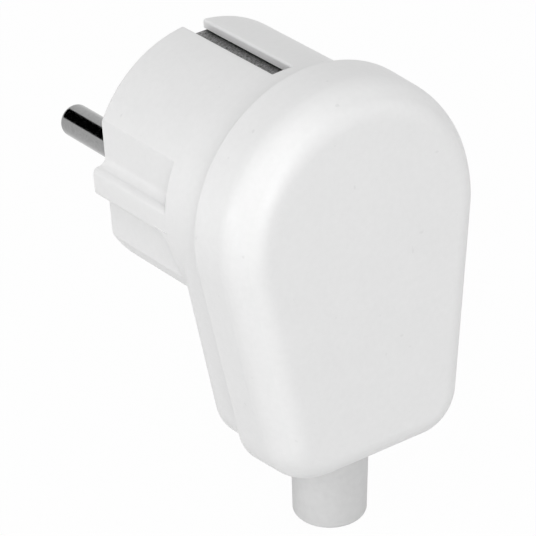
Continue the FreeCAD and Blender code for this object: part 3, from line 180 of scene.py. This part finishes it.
WHITE = grey(1.0)
FLOOR_HALF = 1.5
FLOOR_GAP = 0.0002
FLOOR_COLOUR = grey(0.74)
FLOOR_ROUGHNESS = 0.9
FLOOR_GLOW_SHARE = 0.975

bpy.ops.object.select_all(action="DESELECT")
bpy.ops.mesh.primitive_plane_add(size=2 * FLOOR_HALF, location=(0.0, 0.0, model_box[0].z - FLOOR_GAP))
floor = bpy.context.object
floor.name = "floor"
bpy.ops.object.transform_apply(location=True, rotation=True, scale=True)
floor_finish = Finish("pale_table", {"Base Color": FLOOR_COLOUR, "Roughness": FLOOR_ROUGHNESS})
seen = floor_finish.node("ShaderNodeLightPath", outlet="Is Camera Ray")
mirrored = floor_finish.node("ShaderNodeLightPath", outlet="Is Glossy Ray")
through = floor_finish.node("ShaderNodeLightPath", outlet="Is Transmission Ray")
glow = floor_finish.node("ShaderNodeEmission", None, {"Color": WHITE, "Strength": 1.0})
table = Value(floor_finish, floor_finish.shader.outputs[0])
share = FLOOR_GLOW_SHARE * (seen + mirrored + through)
shown = floor_finish.node("ShaderNodeMixShader", None, {0: share, 1: table, 2: glow})
floor_finish.join(floor_finish.output.inputs["Surface"], shown)
floor.data.materials.append(floor_finish.material)


# The air round the plug is white too where it is seen directly or in a reflection. The light that it
# sheds on the plug is weaker than that.
AIR_LIGHT = 0.475

world = bpy.data.worlds.new("air")
bpy.context.scene.world = world
world.use_nodes = True
air = world.node_tree
air_paths = air.nodes.new("ShaderNodeLightPath")
plain = air.nodes["Background"]
plain.inputs["Color"].default_value = WHITE
plain.inputs["Strength"].default_value = AIR_LIGHT
white = air.nodes.new("ShaderNodeBackground")
white.inputs["Color"].default_value = WHITE
white.inputs["Strength"].default_value = 1.0
direct = air.nodes.new("ShaderNodeMath")
direct.operation = "MAXIMUM"
air.links.new(air_paths.outputs["Is Camera Ray"], direct.inputs[0])
air.links.new(air_paths.outputs["Is Glossy Ray"], direct.inputs[1])
chosen = air.nodes.new("ShaderNodeMixShader")
air.links.new(direct.outputs[0], chosen.inputs[0])
air.links.new(plain.outputs[0], chosen.inputs[1])
air.links.new(white.outputs[0], chosen.inputs[2])
air.links.new(chosen.outputs[0], air.nodes["World Output"].inputs["Surface"])


# Five soft lamps stand a metre away: a low one far to the left and a weak one over it, one behind the
# camera and one above that, and a weak one to the right, which no reflection shows. Azimuth and height are
# angles in degrees, sides are in metres and power is in watts.
LAMPS = {
    "left_lamp": {"azimuth": -105.0, "height": 8.0, "sides": (0.60, 0.26), "power": 1.60},
    "high_left_lamp": {"azimuth": -90.0, "height": 42.0, "sides": (0.60, 0.30), "power": 0.7},
    "camera_lamp": {"azimuth": -33.0, "height": 20.0, "sides": (0.60, 0.60), "power": 3.8},
    "upper_lamp": {"azimuth": -33.0, "height": 60.0, "sides": (0.60, 0.60), "power": 2.25},
    "right_lamp": {"azimuth": 80.0, "height": 10.0, "sides": (0.60, 0.30), "power": 1.5, "mirrored": False},
}
LAMP_DISTANCE = 1.0

for name, kind in LAMPS.items():
    azimuth, height = math.radians(kind["azimuth"]), math.radians(kind["height"])
    flat = math.cos(height)
    direction = Vector((math.sin(azimuth) * flat, -math.cos(azimuth) * flat, math.sin(height)))
    lamp_data = bpy.data.lights.new(name, "AREA")
    lamp_data.shape = "RECTANGLE"
    lamp_data.size, lamp_data.size_y = kind["sides"]
    lamp_data.energy = kind["power"]
    lamp = bpy.data.objects.new(name, lamp_data)
    bpy.context.collection.objects.link(lamp)
    lamp.location = MIDDLE + LAMP_DISTANCE * direction
    lamp.rotation_mode = "QUATERNION"
    lamp.rotation_quaternion = direction.to_track_quat("Z", "Y")
    lamp.visible_camera = False
    lamp.visible_glossy = kind.get("mirrored", True)


# A dark card in front of the plug gives the polished metal something to show. Only reflections see it.
# It runs from straight above the pins down to their left, as seen from behind.
CARD_DISTANCE = 0.50
CARD_FROM = math.radians(88.0)
CARD_TO = math.radians(163.0)
CARD_NEAR = 0.10
CARD_FAR = 1.20

card_mesh = bpy.data.meshes.new("dark_card")
edges = [(CARD_DISTANCE * math.cos(turn), CARD_DISTANCE * math.sin(turn)) for turn in (CARD_FROM, CARD_TO)]
corners = [(x, y, z) for x, z in edges for y in (CARD_NEAR, CARD_FAR)]
card_mesh.from_pydata(corners, [], [(0, 1, 3, 2)])
card = bpy.data.objects.new("dark_card", card_mesh)
bpy.context.collection.objects.link(card)
card_finish = Finish("black_card", {"Base Color": grey(0.0), "Roughness": 1.0, "Specular IOR Level": 0.0})
card_mesh.materials.append(card_finish.material)
card.visible_camera = False
card.visible_diffuse = False
card.visible_transmission = False
card.visible_shadow = False


# The front half is the moulding that everything else is put into: nose, flange, guide ribs, lipped slots
# and terminal chamber. It is moulded in an off-white plastic, so its skin is satin, with a fine mottle and
# a few specks.
HOUSING_LIGHT = grey(0.779)
HOUSING_DARK = grey(0.755)
MOTTLE_SIZE = 0.0009
CLOUD_SIZE = 0.006
CLOUD_SHARE = 0.35
SPECK_SIZE = 0.0011
ROUND = 0.0
SPECK_FROM, SPECK_TO = 0.82, 0.90
SPECK_COLOUR = grey(0.70)
NOISE_RANGE = (0.3, 0.7)
PLASTIC_IOR = 1.5
SATIN = 0.36
SATIN_SPREAD = 0.10
SKIN_GRAIN = 0.00025
SKIN_DEPTH = 0.000002


def dress(node, finish):
    """Gives a piece of the frame its finish."""
    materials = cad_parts[node].data.materials
    materials.clear()
    materials.append(finish.material)


housing = Finish("satin_off_white_moulding", {"IOR": PLASTIC_IOR})
mottle = (1.0 - CLOUD_SHARE) * housing.grain(MOTTLE_SIZE) + CLOUD_SHARE * housing.grain(CLOUD_SIZE)
skin = housing.between(housing.spread(mottle, *NOISE_RANGE), HOUSING_DARK, HOUSING_LIGHT)
specks = housing.spread(housing.grain(SPECK_SIZE, detail=ROUND), SPECK_FROM, SPECK_TO)
housing.feed("Base Color", housing.between(specks, skin, SPECK_COLOUR))
housing.feed("Roughness", SATIN + SATIN_SPREAD * housing.grain(CLOUD_SIZE))
housing.relief(housing.grain(SKIN_GRAIN), SKIN_DEPTH)
dress("plug_body", housing)


# The earth bracket is one strip of nickelled brass, bent to a U. Its cross bar lies in the chamber and its
# two legs run forward in the slots. Its nickel is painted dark as painted shade of the slots, with a random
# mottle and a few dark specks.
# Both tones are far darker than nickel: they paint the shade of the slots into the strip's colour.
STRIP_DARK = grey(0.07)
STRIP_LIGHT = grey(0.33)
STRIP_MOTTLE = 0.00021
STRIP_SPECK = 0.0006
STRIP_SPECK_FROM, STRIP_SPECK_TO = 0.76, 0.82
STRIP_SPECK_COLOUR = grey(0.02)
STRIP_ROUGHNESS = 0.26
STRIP_ROUGHNESS_SPREAD = 0.20
STRIP_DEPTH = 0.000004
FINE = 3.0

strips = Finish("nickel_with_painted_slot_shade", {"Metallic": 1.0})
strip_grain = strips.grain(STRIP_MOTTLE, detail=FINE)
# Painted shade: the strip's colour is kept dark, between the two shaded tones, with a random mottle.
shaded_strip_tone = strips.between(strips.spread(strip_grain, *NOISE_RANGE), STRIP_DARK, STRIP_LIGHT)
dirt = strips.spread(strips.grain(STRIP_SPECK, detail=ROUND), STRIP_SPECK_FROM, STRIP_SPECK_TO)
strips.feed("Base Color", strips.between(dirt, shaded_strip_tone, STRIP_SPECK_COLOUR))
strips.feed("Roughness", STRIP_ROUGHNESS + STRIP_ROUGHNESS_SPREAD * (1.0 - strip_grain))
strips.relief(strip_grain, STRIP_DEPTH)
dress("earth_bracket", strips)


# The two pins are turned from brass with a bright nickel skin. Their collars sit in the front wall and the
# drilled heads behind them are the terminals. Each wire guard is a leaf of the same metal in a pin's head.
NICKEL_DARK = grey(0.285)
NICKEL_LIGHT = grey(0.333)
NICKEL_MOTTLE = 0.00045
NICKEL_ROUGHNESS = 0.10
NICKEL_ROUGHNESS_SPREAD = 0.07
NICKEL_ROUGHNESS_GRAIN = 0.0008

nickel = Finish("bright_nickel", {"Metallic": 1.0})
clouded = nickel.spread(nickel.grain(NICKEL_MOTTLE, detail=FINE), *NOISE_RANGE)
nickel.feed("Base Color", nickel.between(clouded, NICKEL_DARK, NICKEL_LIGHT))
nickel.feed("Roughness", NICKEL_ROUGHNESS + NICKEL_ROUGHNESS_SPREAD * nickel.grain(NICKEL_ROUGHNESS_GRAIN))
for node in ("live_pin", "neutral_pin", "live_wire_guard", "neutral_wire_guard"):
    dress(node, nickel)


# The earth socket is a slit tube of sprung nickelled brass. Its tail goes through the bracket's cross bar
# and is riveted over behind it.
dress("earth_socket", nickel)


# A terminal screw goes into the back of each pin's head and presses the wire guard on the wire. Both are
# slotted steel screws with a rolled thread and a dull zinc skin.
ZINC_DARK = (0.50, 0.51, 0.52, 1.0)
ZINC_LIGHT = (0.62, 0.63, 0.64, 1.0)
ZINC_MOTTLE = 0.0006
ZINC_ROUGHNESS = 0.25
ZINC_ROUGHNESS_SPREAD = 0.18
ZINC_ROUGHNESS_GRAIN = 0.0009
SCREW_SIDES = 48
SAME_HEIGHT = 1e-6
THREAD_STEPS = 24
TRIANGLE_WIDTH = 3 ** 0.5
TRIANGLE_HEIGHT = 1.5
THREAD_DEPTH = 0.58
THREAD_WIDTH = 0.96
THREAD_SINK = 0.00006
HEAD_ROUNDING = 0.00035
HEAD_ROUNDING_STEPS = 3
POINT_CHAMFER = 0.00035
CORE_IN_HEAD = 0.25
DRIVE_SLOT_WIDTH = 0.0009
DRIVE_SLOT_DEPTH = 0.0010
CUTTER_LENGTH = 3.0
SMOOTH_BELOW = math.radians(35.0)
TERMINAL_SCREW = {"radius": 0.0015, "pitch": 0.0005, "head": 0.0019}

zinc = Finish("dull_zinc_on_steel", {"Metallic": 1.0})
zinc_cloud = zinc.spread(zinc.grain(ZINC_MOTTLE, detail=FINE), *NOISE_RANGE)
zinc.feed("Base Color", zinc.between(zinc_cloud, ZINC_DARK, ZINC_LIGHT))
zinc.feed("Roughness", ZINC_ROUGHNESS + ZINC_ROUGHNESS_SPREAD * zinc.grain(ZINC_ROUGHNESS_GRAIN))


def pick(piece, wanted):
    """Selects the edges of a piece in edit mode that the given test picks out, and no others."""
    bpy.ops.mesh.select_mode(type="EDGE")
    bpy.ops.mesh.select_all(action="DESELECT")
    mesh = bmesh.from_edit_mesh(piece.data)
    for edge in mesh.edges:
        edge.select_set(wanted(edge))
    bmesh.update_edit_mesh(piece.data)


def rim(height):
    """A test for the edges that lie at this height."""
    return lambda edge: all(abs(corner.co.z - height) < SAME_HEIGHT for corner in edge.verts)


def rod(radius, low, high, sides=SCREW_SIDES):
    """A round bar on the Z axis, from one height to another."""
    bpy.ops.object.select_all(action="DESELECT")
    middle = (0.0, 0.0, (low + high) / 2)
    bpy.ops.mesh.primitive_cylinder_add(vertices=sides, radius=radius, depth=high - low, location=middle)
    bpy.ops.object.transform_apply(location=True, rotation=True, scale=True)
    return bpy.context.object


def bevelled(piece, wanted, width, steps):
    """Rounds or chamfers the edges that the test picks out."""
    bpy.ops.object.mode_set(mode="EDIT")
    pick(piece, wanted)
    bpy.ops.mesh.bevel(offset=width, segments=steps, affect="EDGES")
    bpy.ops.object.mode_set(mode="OBJECT")


def cut(piece, tool, operation="DIFFERENCE"):
    """Cuts a piece with another one, which is used up."""
    boolean = piece.modifiers.new("cut", "BOOLEAN")
    boolean.operation = operation
    boolean.solver = "EXACT"
    boolean.object = tool
    bpy.context.view_layer.objects.active = piece
    bpy.ops.object.modifier_apply(modifier=boolean.name)
    bpy.data.objects.remove(tool)


def thread(radius, pitch, low, high):
    """A ridge with a pointed section that winds up the Z axis between two heights."""
    depth = THREAD_DEPTH * pitch + THREAD_SINK
    turns = int((high - low) / pitch) - 1
    start = high - turns * pitch - pitch / 2
    bpy.ops.object.select_all(action="DESELECT")
    bpy.ops.mesh.primitive_circle_add(vertices=3, radius=1.0)
    ridge = bpy.context.object
    # The circle of three corners is a triangle that points along +Y. It is made the ridge's section and
    # then turned, so that it stands in the XZ plane and points away from the Z axis.
    ridge.scale = (THREAD_WIDTH * pitch / TRIANGLE_WIDTH, depth / TRIANGLE_HEIGHT, 1.0)
    bpy.ops.object.transform_apply(location=False, rotation=False, scale=True)
    ridge.rotation_euler = (math.pi / 2, 0.0, 0.0)
    bpy.ops.object.transform_apply(location=False, rotation=True, scale=False)
    ridge.rotation_euler = (0.0, math.pi / 2, 0.0)
    bpy.ops.object.transform_apply(location=False, rotation=True, scale=False)
    ridge.location = (radius - depth / TRIANGLE_HEIGHT, 0.0, start)
    bpy.ops.object.transform_apply(location=True, rotation=False, scale=False)
    winding = ridge.modifiers.new("winding", "SCREW")
    winding.axis = "Z"
    winding.screw_offset = pitch
    winding.iterations = turns
    winding.steps = THREAD_STEPS
    winding.render_steps = THREAD_STEPS
    bpy.ops.object.modifier_apply(modifier=winding.name)
    middle = (low + high) / 2
    bpy.ops.object.mode_set(mode="EDIT")
    for below in (True, False):
        pick(ridge, lambda edge: len(edge.link_faces) == 1 and (edge.verts[0].co.z < middle) == below)
        bpy.ops.mesh.edge_face_add()
    bpy.ops.object.mode_set(mode="OBJECT")
    return ridge


def joined(pieces):
    """Makes one piece of several, with all faces outwards and only the slight edges smooth."""
    bpy.ops.object.select_all(action="DESELECT")
    for piece in pieces:
        piece.select_set(True)
    bpy.context.view_layer.objects.active = pieces[0]
    bpy.ops.object.join()
    bpy.ops.object.mode_set(mode="EDIT")
    bpy.ops.mesh.select_all(action="SELECT")
    bpy.ops.mesh.normals_make_consistent(inside=False)
    bpy.ops.object.mode_set(mode="OBJECT")
    bpy.ops.object.shade_smooth_by_angle(angle=SMOOTH_BELOW)
    return pieces[0]


def slotted_screw(node, kind):
    """A screw the size of its node. It stands on the origin with its head below and points along +Z."""
    low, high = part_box(node)
    radius, pitch, head_height = kind["radius"], kind["pitch"], kind["head"]
    head_radius = (high.x - low.x) / 2
    length = high.y - low.y - head_height
    core_radius = radius - THREAD_DEPTH * pitch
    plain_length = length - kind.get("threaded", length)

    head = rod(head_radius, -head_height, 0.0)
    bevelled(head, rim(-head_height), HEAD_ROUNDING, HEAD_ROUNDING_STEPS)
    bpy.ops.object.select_all(action="DESELECT")
    bpy.ops.mesh.primitive_cube_add(size=1.0, location=(0.0, 0.0, -head_height))
    cutter = bpy.context.object
    cutter.scale = (CUTTER_LENGTH * head_radius, DRIVE_SLOT_WIDTH, 2 * DRIVE_SLOT_DEPTH)
    bpy.ops.object.transform_apply(location=True, rotation=True, scale=True)
    cut(head, cutter)

    core = rod(core_radius, -CORE_IN_HEAD * head_height, length)
    bevelled(core, rim(length), POINT_CHAMFER, 1)
    pieces = [head, core, thread(radius, pitch, plain_length, length - POINT_CHAMFER)]
    if plain_length > 0:
        shank_radius = radius - THREAD_DEPTH * pitch / 2
        shank = rod(shank_radius, -CORE_IN_HEAD * head_height, plain_length)
        bevelled(shank, rim(plain_length), shank_radius - core_radius, 1)
        pieces.append(shank)
    return joined(pieces)


def fitted(piece, name, node, seat=0.0, facing=1.0):
    """Turns a steel piece from the Z axis to the Y axis and puts it where its node is, which it replaces.
    The seat is how far the origin lies inside the end of the node where the head is."""
    low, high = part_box(node)
    depth = low.y + seat if facing > 0 else high.y - seat
    turn = Matrix.Rotation(-facing * math.pi / 2, 4, "X")
    place = Matrix.Translation(((low.x + high.x) / 2, depth, (low.z + high.z) / 2))
    piece.data.transform(place @ turn)
    piece.name = name
    piece.data.name = name
    piece.data.materials.clear()
    piece.data.materials.append(zinc.material)
    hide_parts(node)
    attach(piece, "root")


def twin(piece):
    """A copy of a piece with a mesh of its own."""
    copy = piece.copy()
    copy.data = piece.data.copy()
    bpy.context.collection.objects.link(copy)
    return copy


live_screw = slotted_screw("live_terminal_screw", TERMINAL_SCREW)
neutral_screw = twin(live_screw)
fitted(live_screw, "live_terminal_screw_threaded", "live_terminal_screw", TERMINAL_SCREW["head"])
fitted(neutral_screw, "neutral_terminal_screw_threaded", "neutral_terminal_screw", TERMINAL_SCREW["head"])


# The retainer is a plate with walls between the terminals. It lies over the pins' collars and is moulded in
# a harder, slightly duller plastic than the housing.
INNER_DARK = (0.65, 0.65, 0.63, 1.0)
INNER_LIGHT = (0.71, 0.71, 0.69, 1.0)
INNER_MOTTLE = 0.0012
INNER_ROUGHNESS = 0.45
INNER_ROUGHNESS_SPREAD = 0.10
INNER_ROUGHNESS_GRAIN = 0.003

inner = Finish("dull_inner_moulding", {"IOR": PLASTIC_IOR})
inner_cloud = inner.spread(inner.grain(INNER_MOTTLE), *NOISE_RANGE)
inner.feed("Base Color", inner.between(inner_cloud, INNER_DARK, INNER_LIGHT))
inner.feed("Roughness", INNER_ROUGHNESS + INNER_ROUGHNESS_SPREAD * inner.grain(INNER_ROUGHNESS_GRAIN))
inner.relief(inner.grain(SKIN_GRAIN), SKIN_DEPTH)
dress("pin_retainer", inner)


# Two short self-tapping screws in opposite corners hold the retainer in bosses of the front half. Their
# thread is coarse, because it cuts its own way into the plastic.
RETAINER_SCREW = {"radius": 0.00125, "pitch": 0.0008, "head": 0.0015}

left_screw = slotted_screw("retainer_screw_left", RETAINER_SCREW)
right_screw = twin(left_screw)
fitted(left_screw, "retainer_screw_left_threaded", "retainer_screw_left", RETAINER_SCREW["head"])
fitted(right_screw, "retainer_screw_right_threaded", "retainer_screw_right", RETAINER_SCREW["head"])


# The earth wire goes under a square steel washer with a turned down edge, which a screw in the bracket's
# cross bar pulls down.
EARTH_SCREW = {"radius": 0.00175, "pitch": 0.0006, "head": 0.0020}

dress("earth_clamp_washer", zinc)
earth_screw = slotted_screw("earth_terminal_screw", EARTH_SCREW)
fitted(earth_screw, "earth_terminal_screw_threaded", "earth_terminal_screw", EARTH_SCREW["head"])


# The cord clamp is a bridge with a hollow for the cord. It is moulded in the same plastic as the retainer
# and two self-tapping screws press it on the cord.
CLAMP_SCREW = {"radius": 0.0015, "pitch": 0.0010, "head": 0.0019}

dress("cable_clamp", inner)
left_screw = slotted_screw("clamp_screw_left", CLAMP_SCREW)
right_screw = twin(left_screw)
fitted(left_screw, "clamp_screw_left_threaded", "clamp_screw_left", CLAMP_SCREW["head"])
fitted(right_screw, "clamp_screw_right_threaded", "clamp_screw_right", CLAMP_SCREW["head"])


# The bend sleeve is a soft rubber tube with a flange that the two halves of the housing hold. It protects
# the cord where it leaves the plug. Its skin is matt and a little greyer than the housing.
SLEEVE_DARK = grey(0.615)
SLEEVE_LIGHT = grey(0.660)
SLEEVE_MOTTLE = 0.0011
SLEEVE_ROUGHNESS = 0.52
SLEEVE_ROUGHNESS_SPREAD = 0.12
SLEEVE_GRAIN = 0.0003
SLEEVE_DEPTH = 0.000003

sleeve = Finish("soft_matt_sleeve", {"IOR": PLASTIC_IOR})
rubber = (1.0 - CLOUD_SHARE) * sleeve.grain(SLEEVE_MOTTLE) + CLOUD_SHARE * sleeve.grain(CLOUD_SIZE)
sleeve.feed("Base Color", sleeve.between(sleeve.spread(rubber, *NOISE_RANGE), SLEEVE_DARK, SLEEVE_LIGHT))
sleeve.feed("Roughness", SLEEVE_ROUGHNESS + SLEEVE_ROUGHNESS_SPREAD * sleeve.grain(CLOUD_SIZE))
sleeve.relief(sleeve.grain(SLEEVE_GRAIN), SLEEVE_DEPTH)
dress("bend_sleeve", sleeve)


# The rear cover is the cap that slips over the flange of the front half. It is moulded in the same plastic
# and holds a steel nut in a boss on its inside.
NUT_HOLE_RADIUS = 0.0018
NUT_CORNER_CHAMFER = 0.0004
NUT_HOLE_CHAMFER = 0.00015

dress("rear_cover", housing)
low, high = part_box("centre_nut")
nut_height = high.y - low.y
nut_corner = (high.z - low.z) / 2
nut = rod(nut_corner, 0.0, nut_height, sides=6)
round_blank = rod(nut_corner, 0.0, nut_height)
bevelled(round_blank, lambda edge: rim(0.0)(edge) or rim(nut_height)(edge), NUT_CORNER_CHAMFER, 1)
cut(nut, round_blank, "INTERSECT")
cut(nut, rod(NUT_HOLE_RADIUS, -NUT_HOLE_CHAMFER, nut_height + NUT_HOLE_CHAMFER))
fitted(joined([nut]), "centre_nut_chamfered", "centre_nut")


# One long screw from the engagement face pulls the two halves together. Its slotted head sits in a round
# seat between the pins, its shank is plain and only its end is threaded, for the nut.
CENTRE_SCREW = {"radius": 0.00175, "pitch": 0.0006, "head": 0.0024, "threaded": 0.012}

centre_screw = slotted_screw("centre_screw", CENTRE_SCREW)
fitted(centre_screw, "centre_screw_threaded", "centre_screw", CENTRE_SCREW["head"], facing=-1.0)
